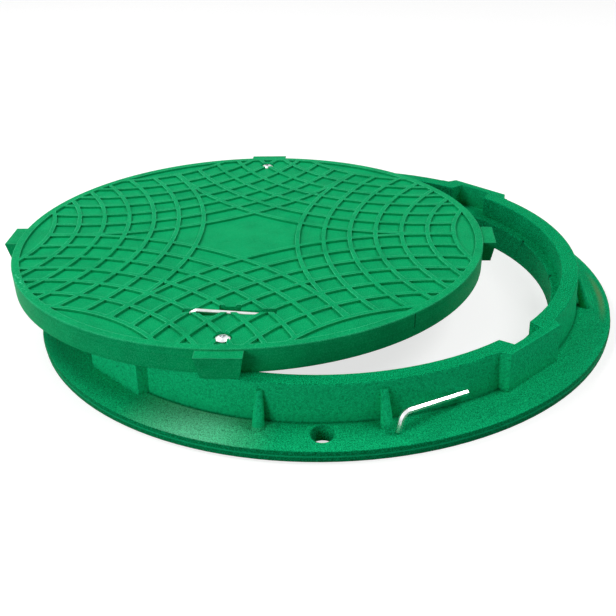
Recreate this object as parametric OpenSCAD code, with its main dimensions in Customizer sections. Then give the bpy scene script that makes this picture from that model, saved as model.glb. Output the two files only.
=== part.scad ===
// Round access cover for a septic tank: a pressed ground frame, a lid with a
// curved tread lattice, two turning locks, a lifting handle and the lock key.
// The lid lies on top of the frame, pushed to one side, as it does when it is taken off.

/* [Frame] */
// Outer diameter of the ground flange
flange_d = 754; // [720:2:780]
// Width of the ground flange outside the wall
flange_w = 45.5; // [42:0.5:50]
// Height of the flange at its edge
edge_h = 13; // [11:0.5:15]
// Height of the flange at the foot of the wall
flange_root_h = 20; // [18:0.5:24]
// Draft of the flange's edge, above and below its parting line
edge_draft = 1; // [0.4:0.1:2]
// Height of the parting line round the flange's edge
parting_h = 7; // [5:0.5:9]
// Height of the seat that the closed lid lies on
seat_h = 37; // [35:1:44]
// Thickness of the wall round the lid at its top
wall_w = 20.5; // [18:0.5:24]
// Width of the seat inside the wall, round the clear opening
seat_w = 11; // [9:0.5:14]
// How much thicker the wall is at its foot
wall_draft = 1.5; // [0.5:0.5:3]
// Bevel along the top edges of the wall
wall_bevel = 1; // [0.5:0.25:2]
// Width of the flat face of each outward bulge behind a lug pocket
bulge_w = 94; // [84:2:104]
// Extra width of a bulge where it leaves the wall
bulge_flare = 15; // [10:1:20]
// Width of the steep side of a bulge, next to its flat face
bulge_side = 5; // [3:0.5:8]
// Plastic left behind a lug pocket
bulge_wall = 11; // [8:0.5:14]
// Distance from the flange's edge in to an anchor hole's centre
anchor_inset = 27; // [25:0.5:29]
// Diameter of an anchor hole
anchor_d = 26; // [18:1:28]
// Angle from the frame's front, back and side lines to the rib on either side
rib_angle = 11.5; // [9:0.5:14]
// Diameter of a rib at its top
rib_top_d = 8; // [6:0.5:10]
// Diameter of a rib at its foot
rib_foot_d = 16; // [12:0.5:18]
// How far a rib's foot stands out on the flange
rib_foot_out = 16; // [12:0.5:18]
// Distance from the top of the wall down to a rib
rib_drop = 10; // [6:1:16]

/* [Lid] */
// Height of the lid
lid_h = 30; // [28:1:33]
// Gap between the closed lid and the wall
lid_gap = 3; // [2.5:0.5:5]
// Thickness of the lid's plate under the lattice
plate_t = 10; // [8:0.5:12]
// Thickness of the lid's skirt
skirt_t = 8; // [6:0.5:10]
// Draft of the skirt
skirt_draft = 1; // [0.5:0.25:2]
// Width of the raised band round the lid's edge
band_w = 10; // [8:0.5:12]
// Bevel along the lid's top edge
lid_bevel = 0.8; // [0.4:0.1:1.5]
// How far the lid is pushed to the left on the frame
lid_shift_x = -99.2; // [-104:0.2:-92]
// How far the lid is pushed back on the frame
lid_shift_y = 0.7; // [-6:0.2:4]
// Turn of the lid against the frame
lid_turn = -1.7; // [-6:0.1:6]

/* [Tread lattice] */
// Height of the ridges and the band above the plate
ridge_h = 3; // [2:0.25:4]
// Width of a ridge
ridge_w = 5.4; // [4:0.2:7]
// Distance from the lid's edge out to the centre of each family of arcs
arc_out = 172; // [164:1:180]
// Width of the plain lens inside each family of arcs
lens_w = 27; // [24:0.5:30]
// Spacing of the arcs of a family
arc_pitch = 34.3; // [33:0.1:35.2]
// Number of arcs in a family
arc_count = 7; // [5:1:7]
// Number of families of arcs
family_count = 6; // [6:1:6]

/* [Lugs] */
// Width of a lug at its top
lug_w = 53; // [48:1:56]
// How far a lug stands out at its top
lug_out = 15.5; // [13:0.5:16]
// Narrowing of each lug side and of its outer face towards the bottom
lug_taper = 5.2; // [3:0.2:6]
// Distance from the lid's top down to a lug
lug_drop = 2.4; // [1.5:0.1:4]
// Gap round a lug in its pocket
pocket_gap = 3.5; // [2.5:0.5:5]
// Gap between a lug's outer face and the pocket
pocket_depth_gap = 5.5; // [3:0.5:7]

/* [Underside] */
// Spacing of the ribs under the plate
rib_pitch = 72; // [66:1:76]
// Thickness of a rib
rib_t = 6; // [4:0.5:8]
// Depth of the ribs
rib_depth = 13; // [8:0.5:15]

/* [Locks] */
// Distance from the lid's edge in to each lock bolt
lock_inset = 30.5; // [29:0.5:34]
// Diameter of a lock bolt
bolt_d = 10; // [8:0.5:10]
// Diameter of the bolt's button head
head_d = 17.5; // [16:0.5:18.5]
// Height of the bolt's button head
head_h = 5.5; // [4.5:0.25:6]
// Gap round the bolt's head in its countersink
head_gap = 1.5; // [1:0.25:2]
// Distance from the lid's top down to the bolt's head
head_drop = 0.5; // [0.25:0.25:1.5]
// Width of the hexagon that the key fits
hex_w = 6; // [5:0.5:6]
// Depth of the hexagon in the bolt's head
hex_depth = 3.8; // [3:0.2:4.4]
// Width of the notch from the front countersink to the band
notch_w = 12; // [8:0.5:14]
// Depth of that notch
notch_depth = 1.5; // [1:0.25:2]
// Diameter of the boss round a lock bolt
boss_d = 20; // [18:0.5:22]
// How far the boss reaches below the skirt
boss_drop = 14; // [12:0.5:15]
// Thickness of the washer between the boss and the cam
washer_t = 2; // [1:0.25:2.5]
// Thickness of the cam
cam_t = 6; // [5:0.25:6.5]
// Reach of the cam from the bolt's axis
cam_reach = 30; // [28:0.5:31]
// Width of the cam's arm
cam_w = 14; // [12:0.5:16]
// Height of the thin lock nut
nut_h = 7; // [5:0.25:7]
// Width of the nut across its flats
nut_w = 16; // [14:0.5:17]
// How far the bolt stands out of the nut
bolt_proud = 0.5; // [0.5:0.25:0.75]
// Running gap round a turning bolt
bolt_gap = 0.06; // [0.02:0.01:0.1]
// Gap above, below and behind a closed cam in its recess
latch_gap = 3; // [2:0.5:4]
// Width of that recess
latch_w = 66; // [62:1:72]

/* [Handle] */
// Diameter of the handle's rod
rod_d = 5; // [4:0.25:5.5]
// Distance from the lid's edge in to the handle
handle_inset = 89; // [86:0.5:92]
// Distance from the lid's centre line to the handle's left leg
leg_left = 44.5; // [43:0.5:47]
// Distance from the lid's centre line to the handle's right leg
leg_right = 37.5; // [34:0.5:44]
// Height of the grip's left end above the plate
grip_rise = 2.3; // [1:0.1:3]
// Fall of the grip from its left end to its right end
grip_fall = 5.6; // [3:0.1:6]
// Length of the bent left corner of the grip
grip_corner = 7; // [6:0.5:12]
// How far the handle lifts
handle_travel = 35; // [25:1:36]
// Length of each foot under the lid
foot_l = 12; // [8:0.5:20]
// Gap left between a foot's bend and the pad when the handle is fully lifted
stop_gap = 0.5; // [0.4:0.1:1]
// Inner radius of the rod's bends
rod_bend = 1.5; // [1:0.25:3.5]
// Running gap round a leg
leg_gap = 0.1; // [0.05:0.01:0.1]
// Length of the slot that the grip lies in
slot_l = 108; // [102:0.5:110]
// Width of that slot
slot_w = 9; // [7:0.5:10]
// Depth of that slot below the plate's top
slot_depth = 7; // [6.5:0.25:8]
// Width of the finger recess behind the grip
finger_w = 25; // [22:0.5:30]
// How far the finger recess reaches behind the slot
finger_reach = 9.5; // [7:0.5:12]
// Width of the scoop in front of the grip
scoop_w = 24; // [18:1:28]
// How far the scoop reaches in front of the slot
scoop_reach = 3; // [2:0.5:5]
// Material round the slot on the pad
pad_rim = 9; // [7:0.5:12]

/* [Key] */
// Length of the key's short arm to the middle of its bend
key_short = 26; // [24:1:34]
// Length of the key's long arm to the middle of its bend
key_long = 90; // [80:1:100]
// Radius of the key's bend at its middle line
key_bend_r = 9; // [8:0.5:12]
// Distance from the wall out to the key's foot
key_out = 25; // [24:0.5:28]
// Angle round the frame of the key's foot
key_angle = -77; // [-79:0.5:-76]
// Height of the key's foot above the flange
key_rise = 1.4; // [1.2:0.1:2]
// Compass direction of the key's long arm
key_turn = 35.7; // [34.5:0.1:38]
// Dip of the key's long arm
key_dip = 6; // [4:0.2:7]
// Lean of the key's short arm
key_lean = 8.9; // [7:0.1:10]

/* [Hidden] */

fine = 128;
round_fn = 48;
cut = 1;

flange_r = flange_d / 2;
wall_r = flange_r - flange_w;
wall_foot_r = wall_r + wall_draft;
wall_mid_r = wall_r - wall_w / 2;
well_r = wall_r - wall_w;
opening_r = well_r - seat_w;
lid_r = well_r - lid_gap;
anchor_r = flange_r - anchor_inset;
wall_h = seat_h + lid_h;
pocket_r = lid_r + lug_out + pocket_depth_gap;
pocket_w = lug_w + 2 * pocket_gap;
bulge_r = pocket_r + bulge_wall;

plate_top = lid_h - ridge_h;
plate_bottom = plate_top - plate_t;
band_r = lid_r - band_w;
skirt_in_r = lid_r - skirt_draft - skirt_t;
lug_root_r = lid_r - skirt_draft - skirt_t / 2;
arc_centre_r = lid_r + arc_out;
lens_r = arc_out + band_w + lens_w;
lock_r = lid_r - lock_inset;
handle_y = lid_r - handle_inset;

head_top = lid_h - head_drop;
sink_floor = head_top - head_h;
sink_d = head_d + 2 * head_gap;
washer_top = -boss_drop;
cam_top = washer_top - washer_t;
nut_top = cam_top - cam_t;
nut_bottom = nut_top - nut_h;
latch_h = cam_t + 2 * latch_gap;
latch_r = lock_r + cam_reach + latch_gap;
bolt_end = nut_bottom - bolt_proud;
bore_r = bolt_d / 2 + bolt_gap;

slot_floor = plate_top - slot_depth;
pad_bottom = plate_bottom - rib_depth;
rod_r = rod_d / 2;
bend_r = rod_r + rod_bend;
pocket_drop = 0.5;
bend_excess = 0.05;
sunk = 0.1;
head_ball_d = 1.44 * head_d;
grip_top = plate_top + grip_rise;
foot_z = pad_bottom - handle_travel - stop_gap - bend_r;

key_circum_r = hex_w / 2 / cos(30);
flange_slope = (flange_root_h - edge_h) / (flange_r - edge_draft - wall_foot_r);
key_r = wall_r + key_out;
key_foot_z = edge_h + (flange_r - edge_draft - key_r) * flange_slope + key_rise;

// Places a shape in the lid's own frame, on the wall's top
module on_lid() {
    translate([lid_shift_x, lid_shift_y, wall_h])
        rotate([0, 0, lid_turn])
            children();
}

// Places a shape at a lock bolt, with +X pointing at the lid's centre
module at_lock(side) {
    on_lid()
        translate([0, side * lock_r, 0])
            rotate([0, 0, -90 * side])
                children();
}

// Repeats a shape at every quarter turn, from a first angle
module quarters(first) {
    for (i = [0:3])
        rotate([0, 0, first + 90 * i])
            children();
}

// Turn of a path at one of its points, to the left where it is positive
function turn_at(path, i) =
    i == 0 || i == len(path) - 1 ? 0 :
    let (before = path[i] - path[i - 1], after = path[i + 1] - path[i])
    atan2(cross(before, after), before * after);

// Length that a bend takes from each leg beside it
function bend_reach(path, i) = bend_r * abs(tan(turn_at(path, i) / 2));

// A round rod along a path in the XZ plane, with a round bend at each inner corner
module bent_rod(path) {
    for (i = [0 : len(path) - 2]) {
        leg = path[i + 1] - path[i];
        begin = max(bend_reach(path, i) - sunk, 0);
        end = norm(leg) - max(bend_reach(path, i + 1) - sunk, 0);
        translate([path[i][0], 0, path[i][1]])
            rotate([0, atan2(leg[0], leg[1]), 0])
                translate([0, 0, begin])
                    cylinder(r = rod_r, h = end - begin, $fn = round_fn);
    }
    for (i = [1 : len(path) - 2]) {
        leg = path[i] - path[i - 1];
        turn = turn_at(path, i);
        begin = path[i] - leg / norm(leg) * bend_reach(path, i);
        inward = sign(turn) * [-leg[1], leg[0]] / norm(leg);
        middle = begin + inward * bend_r;
        translate([middle[0], 0, middle[1]])
            rotate([90, 0, 0])
                rotate([0, 0, atan2(-inward[1], -inward[0]) + min(turn, 0)])
                    rotate_extrude(angle = abs(turn), $fn = round_fn)
                        translate([bend_r, 0])
                            circle(r = rod_r + bend_excess, $fn = round_fn);
    }
}

// Turned section of the frame: flange, wall, seat and opening
module frame_section() {
    polygon([
        [opening_r, 0],
        [flange_r - edge_draft, 0],
        [flange_r, parting_h],
        [flange_r - edge_draft, edge_h],
        [wall_foot_r, flange_root_h],
        [wall_r, wall_h - wall_bevel],
        [wall_r - wall_bevel, wall_h],
        [well_r + wall_bevel, wall_h],
        [well_r, wall_h - wall_bevel],
        [well_r, seat_h],
        [opening_r + 2 * wall_bevel, seat_h],
        [opening_r, seat_h - 2 * wall_bevel]
    ]);
}

// Outward bulge of the wall behind a lug pocket
module bulge() {
    flare_y = bulge_w / 2 + bulge_flare;
    flare_r = sqrt(wall_r * wall_r - flare_y * flare_y);
    side_y = bulge_w / 2 + bulge_side;
    side_r = sqrt(wall_r * wall_r - side_y * side_y);
    linear_extrude(wall_h)
        polygon([
            [wall_mid_r, -flare_y],
            [flare_r, -flare_y],
            [side_r, -side_y],
            [bulge_r, -bulge_w / 2],
            [bulge_r, bulge_w / 2],
            [side_r, side_y],
            [flare_r, flare_y],
            [wall_mid_r, flare_y]
        ]);
}

// Pocket in the wall that takes a lug of the closed lid
module lug_pocket() {
    mouth_r = opening_r + seat_w / 2;
    translate([0, 0, seat_h - pocket_drop])
        linear_extrude(lid_h + pocket_drop + cut)
            polygon([
                [mouth_r, -pocket_w / 2],
                [well_r, -pocket_w / 2],
                [pocket_r, -lug_w / 2],
                [pocket_r, lug_w / 2],
                [well_r, pocket_w / 2],
                [mouth_r, pocket_w / 2]
            ]);
}

// Recess in the opening's wall that holds a closed cam
module latch_recess() {
    mouth_r = lock_r + cut;
    translate([mouth_r, -latch_w / 2, seat_h + nut_top - latch_gap])
        cube([latch_r - mouth_r, latch_w, latch_h]);
}

// Round rib that leans on the wall, wider at its foot on the flange
module wall_rib() {
    rise = wall_h - rib_drop - parting_h;
    translate([wall_r + rib_foot_out, 0, parting_h])
        rotate([0, -atan2(rib_foot_out, rise), 0])
            cylinder(
                d1 = rib_foot_d,
                d2 = rib_top_d,
                h = norm([rib_foot_out, rise]),
                $fn = round_fn
            );
}

// Ground frame, pressed in one piece
module frame() {
    color([0.06, 0.53, 0.31])
        difference() {
            union() {
                rotate_extrude($fn = fine)
                    frame_section();
                intersection() {
                    quarters(45)
                        bulge();
                    cylinder(r = flange_r - edge_draft - cut, h = wall_h, $fn = fine);
                }
                difference() {
                    quarters(0)
                        for (side = [-1, 1])
                            rotate([0, 0, side * rib_angle])
                                wall_rib();
                    cylinder(r = wall_mid_r, h = wall_h, $fn = fine);
                }
            }
            quarters(45)
                lug_pocket();
            quarters(45)
                latch_recess();
            for (side = [-1, 1])
                translate([0, side * anchor_r, -cut])
                    cylinder(d = anchor_d, h = flange_root_h + 2 * cut, $fn = round_fn);
        }
}

// Turned section of the lid: plate, skirt and raised edge band
module lid_section() {
    polygon([
        [0, plate_bottom],
        [skirt_in_r, plate_bottom],
        [skirt_in_r, 0],
        [lid_r - skirt_draft, 0],
        [lid_r, lid_h - lid_bevel],
        [lid_r - lid_bevel, lid_h],
        [band_r, lid_h],
        [band_r, plate_top],
        [0, plate_top]
    ]);
}

// One family of arcs, centred outside the lid
module arc_family() {
    translate([arc_centre_r, 0])
        for (k = [0 : arc_count - 1])
            difference() {
                circle(r = lens_r + arc_pitch * k + ridge_w / 2, $fn = fine);
                circle(r = lens_r + arc_pitch * k - ridge_w / 2, $fn = fine);
            }
}

// Outline of the tread lattice: crossing families, with a plain lens before each
module tread_outline() {
    intersection() {
        circle(r = band_r + ridge_w / 4, $fn = fine);
        difference() {
            for (i = [0 : family_count - 1])
                rotate([0, 0, 360 / family_count * i])
                    arc_family();
            for (i = [0 : family_count - 1])
                rotate([0, 0, 360 / family_count * i])
                    translate([arc_centre_r, 0])
                        circle(r = lens_r - ridge_w / 2, $fn = fine);
        }
    }
}

// Tapered lug on the lid's edge: its front and its side profile, crossed
module lug() {
    lug_h = lid_h - lug_drop;
    intersection() {
        translate([lug_root_r, 0, 0])
            rotate([90, 0, 90])
                linear_extrude(2 * lug_out)
                    polygon([
                        [-lug_w / 2 + lug_taper, 0],
                        [lug_w / 2 - lug_taper, 0],
                        [lug_w / 2, lug_h],
                        [-lug_w / 2, lug_h]
                    ]);
        translate([0, lug_w / 2, 0])
            rotate([90, 0, 0])
                linear_extrude(lug_w)
                    polygon([
                        [lug_root_r, 0],
                        [lid_r + lug_out - lug_taper, 0],
                        [lid_r + lug_out, lug_h],
                        [lug_root_r, lug_h]
                    ]);
    }
}

// Square grid of ribs under the plate
module rib_grid() {
    lines = floor(skirt_in_r / rib_pitch);
    intersection() {
        circle(r = skirt_in_r + skirt_t / 2, $fn = fine);
        union() {
            for (i = [-lines : lines - 1]) {
                translate([(i + 0.5) * rib_pitch, 0])
                    square([rib_t, 2 * lid_r], center = true);
                translate([0, (i + 0.5) * rib_pitch])
                    square([2 * lid_r, rib_t], center = true);
            }
        }
    }
}

// Lid, pressed in one piece
module lid() {
    color([0.08, 0.62, 0.38])
        on_lid()
            difference() {
                union() {
                    rotate_extrude($fn = fine)
                        lid_section();
                    translate([0, 0, plate_top - sunk])
                        linear_extrude(ridge_h + sunk)
                            tread_outline();
                    quarters(0)
                        lug();
                    translate([0, 0, pad_bottom])
                        linear_extrude(rib_depth + sunk)
                            rib_grid();
                    for (side = [-1, 1])
                        translate([0, side * lock_r, -boss_drop])
                            cylinder(d = boss_d, h = plate_bottom + boss_drop + sunk, $fn = round_fn);
                    translate([-slot_l / 2 - pad_rim, -handle_y - slot_w / 2 - pad_rim, pad_bottom])
                        cube([slot_l + 2 * pad_rim, slot_w + 2 * pad_rim, rib_depth + sunk]);
                }
                for (side = [-1, 1])
                    translate([0, side * lock_r, 0]) {
                        translate([0, 0, sink_floor])
                            cylinder(d = sink_d, h = lid_h, $fn = round_fn);
                        translate([0, 0, -boss_drop - cut])
                            cylinder(r = bore_r, h = lid_h + boss_drop, $fn = round_fn);
                    }
                translate([-notch_w / 2, -band_r, plate_top - notch_depth])
                    cube([notch_w, band_r - lock_r, lid_h]);
                translate([-slot_l / 2, -handle_y - slot_w / 2, slot_floor])
                    cube([slot_l, slot_w, lid_h]);
                translate([-finger_w / 2, -handle_y, slot_floor])
                    cube([finger_w, slot_w / 2 + finger_reach, lid_h]);
                translate([-scoop_w / 2 - finger_w, -handle_y - slot_w / 2 - scoop_reach, slot_floor])
                    cube([scoop_w, slot_w, lid_h]);
                for (x = [-leg_left, leg_right])
                    translate([x, -handle_y, pad_bottom - cut])
                        cylinder(r = rod_r + leg_gap, h = slot_floor - pad_bottom + 2 * cut,
                            $fn = round_fn);
            }
}

// Button-head bolt with a hexagon socket, which the key turns
module lock_bolt(side) {
    color([0.82, 0.83, 0.84])
        at_lock(side)
            difference() {
                union() {
                    translate([0, 0, bolt_end])
                        cylinder(d = bolt_d, h = sink_floor - bolt_end + sunk, $fn = round_fn);
                    intersection() {
                        translate([0, 0, sink_floor])
                            cylinder(d = head_d, h = head_h, $fn = round_fn);
                        translate([0, 0, head_top - head_ball_d / 2])
                            sphere(d = head_ball_d, $fn = round_fn);
                    }
                }
                translate([0, 0, head_top - hex_depth])
                    cylinder(r = key_circum_r, h = head_h, $fn = 6);
            }
}

// Flat washer between the boss and the cam
module lock_washer(side) {
    color([0.75, 0.76, 0.78])
        at_lock(side)
            translate([0, 0, cam_top])
                difference() {
                    cylinder(d = boss_d, h = washer_t, $fn = round_fn);
                    translate([0, 0, -cut])
                        cylinder(r = bore_r, h = washer_t + 2 * cut, $fn = round_fn);
                }
}

// Cam that turns under the frame's seat and holds the closed lid down
module lock_cam(side) {
    color([0.70, 0.71, 0.73])
        at_lock(side)
            translate([0, 0, nut_top])
                linear_extrude(cam_t)
                    difference() {
                        union() {
                            circle(d = boss_d, $fn = round_fn);
                            translate([0, -cam_w / 2])
                                square([cam_reach - cam_w / 2, cam_w]);
                            translate([cam_reach - cam_w / 2, 0])
                                circle(d = cam_w, $fn = round_fn);
                        }
                        circle(r = bore_r, $fn = round_fn);
                    }
}

// Thin hexagon nut that clamps the cam on the bolt
module lock_nut(side) {
    color([0.78, 0.79, 0.80])
        at_lock(side)
            translate([0, 0, nut_bottom])
                difference() {
                    cylinder(r = nut_w / 2 / cos(30), h = nut_h, $fn = 6);
                    translate([0, 0, -cut])
                        cylinder(r = bore_r, h = nut_h + 2 * cut, $fn = round_fn);
                }
}

// Bent rod that lifts the lid: a grip, two legs and a foot on each
module lifting_handle() {
    color([0.85, 0.86, 0.87])
        on_lid()
            translate([0, -handle_y, 0])
                bent_rod([
                    [-leg_left + foot_l, foot_z],
                    [-leg_left, foot_z],
                    [-leg_left, grip_top - grip_corner / 2],
                    [-leg_left + grip_corner, grip_top],
                    [leg_right, grip_top - grip_fall],
                    [leg_right, foot_z],
                    [leg_right - foot_l, foot_z]
                ]);
}

// Bent hexagon key, which stands on the flange and leans against the wall
module hex_key() {
    color([0.86, 0.87, 0.88])
        rotate([0, 0, key_angle])
            translate([key_r, 0, key_foot_z])
                rotate([0, 0, key_turn - key_angle])
                    rotate([key_lean, key_dip, 0]) {
                        cylinder(r = key_circum_r, h = key_short - key_bend_r, $fn = 6);
                        translate([key_bend_r, 0, key_short - key_bend_r])
                            rotate([90, 0, 180])
                                mirror([0, 1, 0])
                                    rotate_extrude(angle = -90, $fn = fine)
                                        translate([key_bend_r, 0])
                                            circle(r = key_circum_r, $fn = 6);
                        translate([key_bend_r, 0, key_short])
                            rotate([0, 90, 0])
                                cylinder(r = key_circum_r, h = key_long - key_bend_r, $fn = 6);
                    }
}

frame();
lid();
lock_bolt(-1);  // lock_bolt_front
lock_bolt(1);  // lock_bolt_back
lock_washer(-1);  // lock_washer_front
lock_washer(1);  // lock_washer_back
lock_cam(-1);  // lock_cam_front
lock_cam(1);  // lock_cam_back
lock_nut(-1);  // lock_nut_front
lock_nut(1);  // lock_nut_back
lifting_handle();
hex_key();
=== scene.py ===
import math

import bpy
from mathutils import Matrix, Vector

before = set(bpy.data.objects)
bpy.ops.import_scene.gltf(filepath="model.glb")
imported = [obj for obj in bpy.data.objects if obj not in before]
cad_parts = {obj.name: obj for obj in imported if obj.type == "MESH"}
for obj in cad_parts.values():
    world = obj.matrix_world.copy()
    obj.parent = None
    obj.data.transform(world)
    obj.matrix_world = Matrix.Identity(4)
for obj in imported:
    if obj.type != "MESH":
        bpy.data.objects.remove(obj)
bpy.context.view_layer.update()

# The ground frame is one heavy pressing of green polymer and sand, lying flat on the
# ground. Its skin is matt and grainy, with pale grains of sand and darker pores; its
# colour also carries painted highlights and painted shade.


def linear(red, green, blue):
    """A colour as the eye names it, from 0 to 255, in the renderer's linear values."""
    return tuple(
        (v / 255 / 12.92 if v / 255 <= 0.04045 else ((v / 255 + 0.055) / 1.055) ** 2.4)
        for v in (red, green, blue)
    )


class Socket:
    """An output socket; arithmetic on it adds the Math nodes that work it out."""

    def __init__(self, recipe, output):
        self.recipe = recipe
        self.output = output

    def maths(self, operation, *values):
        return self.recipe.node("ShaderNodeMath", {"operation": operation}, values)

    def __add__(self, other):
        return self.maths("ADD", self, other)

    __radd__ = __add__

    def __sub__(self, other):
        return self.maths("SUBTRACT", self, other)

    def __rsub__(self, other):
        return self.maths("SUBTRACT", other, self)

    def __mul__(self, other):
        return self.maths("MULTIPLY", self, other)

    __rmul__ = __mul__

    def __pow__(self, other):
        return self.maths("POWER", self, other)

    def above(self, edge, width):
        """0 below the edge, 1 above it, with a soft step of this width."""
        return self.recipe.node(
            "ShaderNodeMapRange",
            {"interpolation_type": "SMOOTHSTEP", "clamp": True},
            {"Value": self, "From Min": edge - width / 2, "From Max": edge + width / 2},
        )

    def near(self, place, width):
        """1 at a place, falling to 0 at this distance on either side."""
        distance = self.maths("ABSOLUTE", self - place)
        return 1 - distance.above(width / 2, width)


class Recipe:
    """The node tree of one finish, with its Principled shader."""

    def __init__(self, name):
        self.material = bpy.data.materials.new(name)
        self.material.use_nodes = True
        self.nodes = self.material.node_tree.nodes
        self.links = self.material.node_tree.links
        self.shader = self.nodes["Principled BSDF"]
        self.place = self.node("ShaderNodeTexCoord", {}, {}, "Object")

    def node(self, kind, settings, values, output=0):
        """Adds one node: its settings first, then the values or links of its sockets."""
        made = self.nodes.new(kind)
        for name, setting in settings.items():
            setattr(made, name, setting)
        pairs = values.items() if isinstance(values, dict) else enumerate(values)
        for name, value in pairs:
            if isinstance(value, Socket):
                self.links.new(value.output, made.inputs[name])
            else:
                made.inputs[name].default_value = value
        return Socket(self, made.outputs[output])

    def blend(self, amount, first, second):
        """A colour between two others."""
        first = first if isinstance(first, Socket) else (*first, 1)
        second = second if isinstance(second, Socket) else (*second, 1)
        return self.node(
            "ShaderNodeMix",
            {"data_type": "RGBA", "clamp_factor": True},
            {0: amount, 6: first, 7: second},
            2,
        )

    def noise(self, scale, detail, rough, where=None):
        """Soft noise, whose grains are about 1 / scale metres wide."""
        return self.node(
            "ShaderNodeTexNoise",
            {"noise_dimensions": "3D"},
            {
                "Vector": where or self.place,
                "Scale": scale,
                "Detail": detail,
                "Roughness": rough,
            },
        )

    def cells(self, scale):
        """Distance to the nearest of many scattered grains."""
        return self.node(
            "ShaderNodeTexVoronoi",
            {"feature": "F1"},
            {"Vector": self.place, "Scale": scale},
            "Distance",
        )

    def axes(self):
        """The X, Y and Z of the place on the surface, as three values."""
        split = self.node("ShaderNodeSeparateXYZ", {}, [self.place])
        owner = split.output.node
        return [Socket(self, owner.outputs[i]) for i in range(3)]

    def radius(self, x, y):
        """Distance from an upright axis."""
        return (x * x + y * y) ** 0.5

    def angle(self, x, y):
        """Angle round an upright axis, in degrees from -180 to 180."""
        return y.maths("ARCTAN2", y, x) * (180 / math.pi)

    def feed(self, name, value):
        """Links a value to a socket of the shader."""
        self.links.new(value.output, self.shader.inputs[name])

    def steady(self, **values):
        """Sets what is the same all over the surface."""
        for name, value in values.items():
            self.shader.inputs[name.replace("_", " ")].default_value = value

    def stretched(self, along_x, along_y, along_z):
        """The place on the surface, drawn out or pressed together along each axis."""
        return self.node(
            "ShaderNodeMapping",
            {"vector_type": "POINT"},
            {"Vector": self.place, "Scale": (along_x, along_y, along_z)},
        )

    def edges_and_corners(self, width):
        """1 along the sharp edges and inner corners, 0 on plain surfaces."""
        rounded = self.node("ShaderNodeBevel", {"samples": 8}, {"Radius": width})
        plain = self.node("ShaderNodeNewGeometry", {}, {}, "Normal")
        alike = self.node(
            "ShaderNodeVectorMath", {"operation": "DOT_PRODUCT"}, [rounded, plain], "Value"
        )
        return 1 - alike.above(0.93, 0.1)

    def relief(self, height, depth, softness, rounding):
        """Raises and sinks the surface by a height map, and rounds its sharp edges."""
        rounded = self.node("ShaderNodeBevel", {"samples": 6}, {"Radius": rounding})
        bump = self.node(
            "ShaderNodeBump",
            {},
            {"Strength": softness, "Distance": depth, "Height": height, "Normal": rounded},
        )
        self.feed("Normal", bump)


def dress(name, material):
    """Gives one piece of the cover its material."""
    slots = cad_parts[name].data.materials
    slots.clear()
    slots.append(material)


def pressed_green(name, shade, deep, pale, grain):
    """Matt pressed plastic: mottled green, with pale grains of sand and dark pores."""
    finish = Recipe(name)
    mottle = finish.noise(22, 4, 0.6)
    cloud = finish.noise(300, 3, 0.6)
    fine = finish.noise(820, 2, 0.6)
    colour = finish.blend(mottle.above(0.56, 0.4) * 0.3, shade, deep)
    colour = finish.blend((1 - cloud).above(0.56, 0.26) * 0.4 * grain, colour, deep)
    colour = finish.blend((1 - fine).above(0.54, 0.16) * 0.75 * grain, colour, deep)
    colour = finish.blend(fine.above(0.55, 0.14) * 0.7 * grain, colour, pale)
    return finish, colour, mottle, cloud, fine


FRAME_GREEN = linear(0, 160, 96)
FRAME_DEEP = linear(0, 98, 54)
FRAME_PALE = linear(24, 216, 142)
FRAME_BROWN = linear(140, 150, 96)
FRAME_LIT_PATCH = linear(150, 240, 200)
MARK_DARK = linear(0, 40, 24)

# Radii and heights are metres, turns round the axis are degrees from +X.
EDGE_RADIUS = 0.3755
EDGE_TOP = 0.0125
PARTING_HEIGHT = 0.007
WALL_FOOT_RADIUS = 0.3335
WALL_FOOT_HEIGHT = 0.021
WALL_FACE_RADIUS = 0.3265
WALL_TOP = 0.066
WALL_EDGE = 0.064
FLANGE_FACE_RADIUS = 0.335
BULGE_RADIUS = 0.3385
BULGE_OUTER_RADIUS = 0.352
BULGE_FOOT = 0.024
LIT_PATCH_TURN = -113
LID_SHADOW_TURN = -168
GLINT_RADII = (0.3495, 0.3525, 0.3555)
GLINT_TURN = -6.5
BAND_RADIUS = 0.366
BAND_TURN = -5
RIB_SHADOW_RADIUS = 0.3455
RIB_SHADOW_TURN = -9
SEAT_EDGE_RADIUS = 0.3015
MARK_TURNS = (19, -3)
MARK_FOOT = 0.030
MARK_TOP = 0.045

finish, colour, mottle, cloud, fine = pressed_green(
    "pressed_frame_green", FRAME_GREEN, FRAME_DEEP, FRAME_PALE, 1.0
)
x, y, z = finish.axes()
out = finish.radius(x, y)
turn = finish.angle(x, y)
# Painted shade: a dark line in the inner corner where the wall meets the flange.
shaded_foot_corner = out.near(WALL_FOOT_RADIUS, 0.007) * z.near(WALL_FOOT_HEIGHT, 0.012)
colour = finish.blend(shaded_foot_corner * 0.55, colour, FRAME_DEEP)
edge_face = out.above(EDGE_RADIUS, 0.001) * (1 - z.above(EDGE_TOP, 0.002))
# Painted shade: the upright outer face of the flange is painted darker.
colour = finish.blend(edge_face * 0.5, colour, FRAME_DEEP)
colour = finish.blend(edge_face * z.near(PARTING_HEIGHT, 0.0016) * 0.45, colour, FRAME_PALE)
wall_height = z.above(WALL_FOOT_HEIGHT, 0.003) * (1 - z.above(WALL_TOP, 0.001))
wall_face = wall_height * out.above(WALL_FACE_RADIUS, 0.002)
# Painted light: the wall face is painted paler, in clouds, for the light its rough grain
# catches.
colour = finish.blend(wall_face * (0.2 + 0.35 * cloud.above(0.42, 0.4)), colour, FRAME_PALE)
flange_height = z.above(EDGE_TOP, 0.001) * (1 - z.above(WALL_FOOT_HEIGHT, 0.002))
flange_face = flange_height * out.above(FLANGE_FACE_RADIUS, 0.002)
colour = finish.blend(flange_face * (0.1 + 0.3 * fine.above(0.45, 0.3)), colour, FRAME_PALE)
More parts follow.
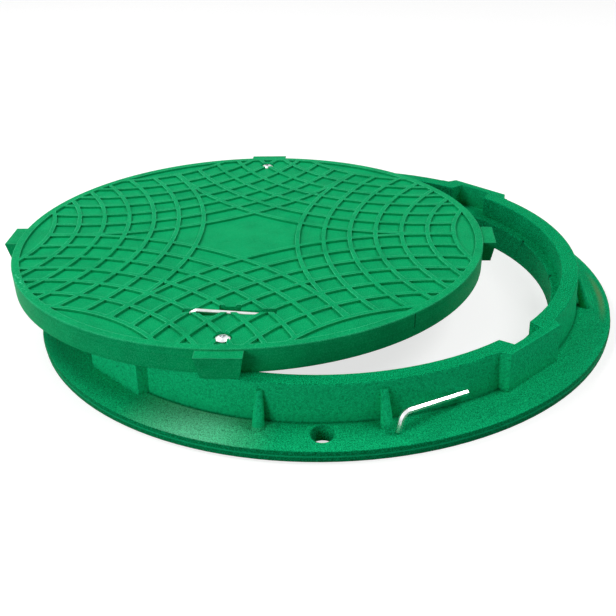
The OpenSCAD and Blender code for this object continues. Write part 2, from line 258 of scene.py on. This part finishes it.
# Painted light: a pale pool of light on the front left of the flange, broken up by its fine
# grain.
lit_patch = turn.near(LIT_PATCH_TURN, 16) * flange_face
colour = finish.blend(lit_patch * fine.above(0.4, 0.3) * 0.42, colour, FRAME_LIT_PATCH)
# Painted shadow: the left of the flange is darkened where the lid's shadow falls.
colour = finish.blend(turn.near(LID_SHADOW_TURN, 30) * flange_face * 0.3, colour, FRAME_DEEP)
bulge_face = out.above(BULGE_RADIUS, 0.002) * z.above(BULGE_FOOT, 0.004)
bulge_face = bulge_face * (1 - out.above(BULGE_OUTER_RADIUS, 0.004))
# Painted light: the outer faces of the bulges are painted paler, in clouds, where light
# falls on them.
colour = finish.blend(bulge_face * 0.3 * cloud.above(0.45, 0.4), colour, FRAME_PALE)
# Painted highlight: the top edges of the wall are painted pale where light catches them.
wall_top_highlight = finish.edges_and_corners(0.0014) * z.above(WALL_EDGE, 0.003)
colour = finish.blend(wall_top_highlight * 0.75, colour, FRAME_PALE)
flange_top = z.above(0.012, 0.002) * (1 - z.above(0.022, 0.002))
right_side = turn.near(BAND_TURN, 13) * flange_top
# Painted highlight: three thin pale lines on the right of the flange, beside a rib.
for place in GLINT_RADII:
    glint = out.near(place, 0.0011) * turn.near(GLINT_TURN, 6.5) * flange_top
    colour = finish.blend(glint * 0.8, colour, FRAME_PALE)
# A pale brownish band is painted along the flange on the right.
colour = finish.blend(out.near(BAND_RADIUS, 0.006) * right_side * 0.5, colour, FRAME_BROWN)
# Painted shadow: a dark patch on the flange beside the rib on the right.
rib_shadow = out.near(RIB_SHADOW_RADIUS, 0.005) * turn.near(RIB_SHADOW_TURN, 4) * flange_top
colour = finish.blend(rib_shadow, colour, FRAME_DEEP)
for mark in MARK_TURNS:
    spot = turn.near(mark, 1.1) * out.near(SEAT_EDGE_RADIUS, 0.003)
    spot = spot * z.above(MARK_FOOT, 0.002)
    colour = finish.blend(spot * (1 - z.above(MARK_TOP, 0.002)), colour, MARK_DARK)
finish.feed("Base Color", colour)
finish.feed("Roughness", 0.5 + 0.16 * mottle)
finish.steady(Specular_IOR_Level=0.01)
finish.relief(fine * 0.8 + cloud * 0.8, 0.0012, 0.8, 0.0012)
dress("frame", finish.material)

# The lid is a second pressing in a smoother green. Its tread lattice is raised in the
# mould; the top edges of the ridges carry a painted highlight and their feet painted shade.

LID_GREEN = linear(0, 170, 102)
LID_DEEP = linear(0, 96, 54)
LID_PALE_AND_HIGHLIGHT = linear(84, 236, 176)
LID_FOOT_SHADE = linear(0, 84, 46)
LID_TICK = linear(0, 52, 30)
LID_PLACE = (-0.0992, 0.0007)
RIDGE_FOOT_LOW = 0.0925
RIDGE_FOOT_HIGH = 0.0952
RIDGE_TOP = 0.0955
RIM_RADIUS = 0.3055
RIM_FOOT = 0.0945
SKIRT_RADIUS = 0.3062
CHIP_RADIUS = 0.3035
CHIP_TURN = -153
TICK_TURN = -48.5
TICK_FOOT = 0.078

finish, colour, mottle, cloud, fine = pressed_green(
    "pressed_lid_green", LID_GREEN, LID_DEEP, LID_PALE_AND_HIGHLIGHT, 0.22
)
x, y, z = finish.axes()
x, y = x - LID_PLACE[0], y - LID_PLACE[1]
out = finish.radius(x, y)
turn = finish.angle(x, y)
edge = finish.edges_and_corners(0.0011)
top = z.above(RIDGE_TOP, 0.001)
patchy = finish.noise(14, 3, 0.6).above(0.42, 0.3)
# Painted highlight: the top edges of the ridges are painted pale, in patches.
colour = finish.blend(edge * top * patchy * 0.9, colour, LID_PALE_AND_HIGHLIGHT)
# Painted shade: a dark line along the feet of the ridges.
ridge_foot_shade = edge * z.above(RIDGE_FOOT_LOW, 0.001) * (1 - z.above(RIDGE_FOOT_HIGH, 0.001))
colour = finish.blend(ridge_foot_shade * 0.9, colour, LID_FOOT_SHADE)
# Painted highlight: the lid's top outer edge is painted pale.
lid_rim_highlight = edge * out.above(RIM_RADIUS, 0.001) * z.above(RIM_FOOT, 0.001)
colour = finish.blend(lid_rim_highlight * 0.8, colour, LID_PALE_AND_HIGHLIGHT)
chips = (1 - finish.cells(260)).above(0.62, 0.2) * out.near(CHIP_RADIUS, 0.0055)
colour = finish.blend(chips * top * turn.near(CHIP_TURN, 9) * 0.8, colour, LID_PALE_AND_HIGHLIGHT)
skirt = out.above(SKIRT_RADIUS, 0.0006) * (1 - z.above(RIDGE_TOP, 0.001))
lines = finish.noise(1.0, 3, 0.7, finish.stretched(3, 3, 900))
colour = finish.blend(skirt * lines.above(0.55, 0.3) * 0.22, colour, LID_DEEP)
tick = turn.near(TICK_TURN, 0.25) * skirt * z.above(TICK_FOOT, 0.002)
colour = finish.blend(tick * 0.9, colour, LID_TICK)
finish.feed("Base Color", colour)
finish.feed("Roughness", 0.4 + 0.16 * mottle)
finish.steady(Specular_IOR_Level=0.015)
finish.relief(fine * 0.5 + cloud * 0.8, 0.0006, 0.5, 0.0007)
dress("lid", finish.material)

# The lock bolts are stainless button heads with a turned, slightly dull finish. The
# washers, cams and nuts below the lid are pressed or turned steel, zinc plated.

METAL_STAIN = linear(120, 124, 126)
METAL_EDGE_SHADE = linear(58, 66, 64)


def bare_metal(name, shade, rough, streak, shade_width):
    """Bright metal with fine streaks, faint stains and painted shade along its edges and
    creases.
    """
    finish = Recipe(name)
    stain = finish.noise(160, 4, 0.6)
    lines = finish.noise(streak, 2, 0.5)
    colour = finish.blend(stain.above(0.62, 0.3) * 0.3, linear(*shade), METAL_STAIN)
    # Painted shade: the edges and creases are painted dark.
    colour = finish.blend(finish.edges_and_corners(shade_width) * 0.85, colour, METAL_EDGE_SHADE)
    finish.feed("Base Color", colour)
    finish.feed("Roughness", rough + 0.14 * stain)
    finish.steady(Metallic=1.0)
    finish.relief(lines, 0.0001, 0.4, 0.0003)
    return finish.material


stainless = bare_metal("stainless_head", (226, 230, 230), 0.24, 900, 0.0011)
zinc = bare_metal("zinc_plate", (196, 202, 206), 0.34, 500, 0.0005)
lock_metals = {"bolt": stainless, "washer": zinc, "cam": zinc, "nut": zinc}
for side in ("front", "back"):
    for piece, metal in lock_metals.items():
        dress("lock_" + piece + "_" + side, metal)

# The lifting handle is one round steel rod, bent cold and plated bright. It hangs in a
# slot of the lid by its two legs, which run through the plate.

plated = bare_metal("plated_rod", (228, 232, 230), 0.22, 1200, 0.0004)
dress("lifting_handle", plated)

# The key is a bent bar of hexagon steel, plated bright. It stands loose on the flange
# and leans against the wall of the frame.

key_steel = bare_metal("key_steel", (236, 239, 239), 0.16, 1500, 0.0007)
dress("hex_key", key_steel)

# The floor is a plain white studio floor. It looks white, also in the bright metal, but
# sends only part of the light back up at the cover.

FLOOR_SIDE = 12.0
FLOOR_HEIGHT = -0.0005
FLOOR_GREY = (0.4, 0.4, 0.4, 1)
FLOOR_GLOW = 0.72

bpy.ops.object.select_all(action="DESELECT")
bpy.ops.mesh.primitive_plane_add(size=FLOOR_SIDE, location=(0, 0, FLOOR_HEIGHT))
floor = bpy.context.object
floor.name = "studio_floor"
bpy.ops.object.transform_apply(location=True, rotation=True, scale=True)
finish = Recipe("white_floor")
ray = finish.node("ShaderNodeLightPath", {}, {}, "Is Camera Ray")
glossy = Socket(finish, ray.output.node.outputs["Is Glossy Ray"])
finish.shader.inputs["Base Color"].default_value = FLOOR_GREY
finish.shader.inputs["Roughness"].default_value = 0.9
finish.shader.inputs["Emission Color"].default_value = (1, 1, 1, 1)
seen = ray.maths("MAXIMUM", ray, glossy)
finish.links.new((seen * FLOOR_GLOW).output, finish.shader.inputs["Emission Strength"])
floor.data.materials.append(finish.material)

# The room is white where it is seen or mirrored, and lights the cover only faintly.
# The light comes from three soft lamps: right, behind on the left, and low in front on
# the left.

ROOM_LIGHT = 0.05
LAMP_AIM = (0, 0, 0.05)

world = bpy.data.worlds.new("studio")
world.use_nodes = True
bpy.context.scene.world = world
room = world.node_tree
background = room.nodes["Background"]
background.inputs["Color"].default_value = (1, 1, 1, 1)
path = room.nodes.new("ShaderNodeLightPath")
seen = room.nodes.new("ShaderNodeMath")
seen.operation = "MAXIMUM"
room.links.new(path.outputs["Is Camera Ray"], seen.inputs[0])
room.links.new(path.outputs["Is Glossy Ray"], seen.inputs[1])
strength = room.nodes.new("ShaderNodeMapRange")
room.links.new(seen.outputs[0], strength.inputs["Value"])
strength.inputs["To Min"].default_value = ROOM_LIGHT
strength.inputs["To Max"].default_value = 1.0
room.links.new(strength.outputs[0], background.inputs["Strength"])


def lamp(name, place, size, power):
    """A soft square lamp, aimed at the cover."""
    bpy.ops.object.select_all(action="DESELECT")
    bpy.ops.object.light_add(type="AREA", location=place)
    made = bpy.context.object
    made.name = name
    made.data.shape = "SQUARE"
    made.data.size = size
    made.data.energy = power
    toward = Vector(LAMP_AIM) - Vector(place)
    made.rotation_euler = toward.to_track_quat("-Z", "Y").to_euler()


lamp("right_lamp", (1.93, 0, 2.35), 1.4, 44)
lamp("back_lamp", (-1.75, 0.82, 2.35), 1.2, 48)
lamp("front_lamp", (-1.97, -1.97, 1.17), 1.4, 36)

bpy.context.scene.view_settings.view_transform = "Standard"

# The camera stands in front of the cover at about the height of a low table, looking
# down, and is rolled by a degree and a half.

CAMERA_PLACE = (0.0189, -1.2121, 0.6161)
CAMERA_YAW = 2.0
CAMERA_TILT = 62.5
CAMERA_ROLL = -1.658
CAMERA_LENS = 57.82

camera_data = bpy.data.cameras.new("camera")
camera_data.sensor_width = 36.0
camera_data.lens = CAMERA_LENS
camera = bpy.data.objects.new("camera", camera_data)
bpy.context.scene.collection.objects.link(camera)
camera.matrix_world = (
    Matrix.Translation(CAMERA_PLACE)
    @ Matrix.Rotation(math.radians(CAMERA_YAW), 4, "Z")
    @ Matrix.Rotation(math.radians(CAMERA_TILT), 4, "X")
    @ Matrix.Rotation(math.radians(CAMERA_ROLL), 4, "Z")
)
bpy.context.scene.camera = camera
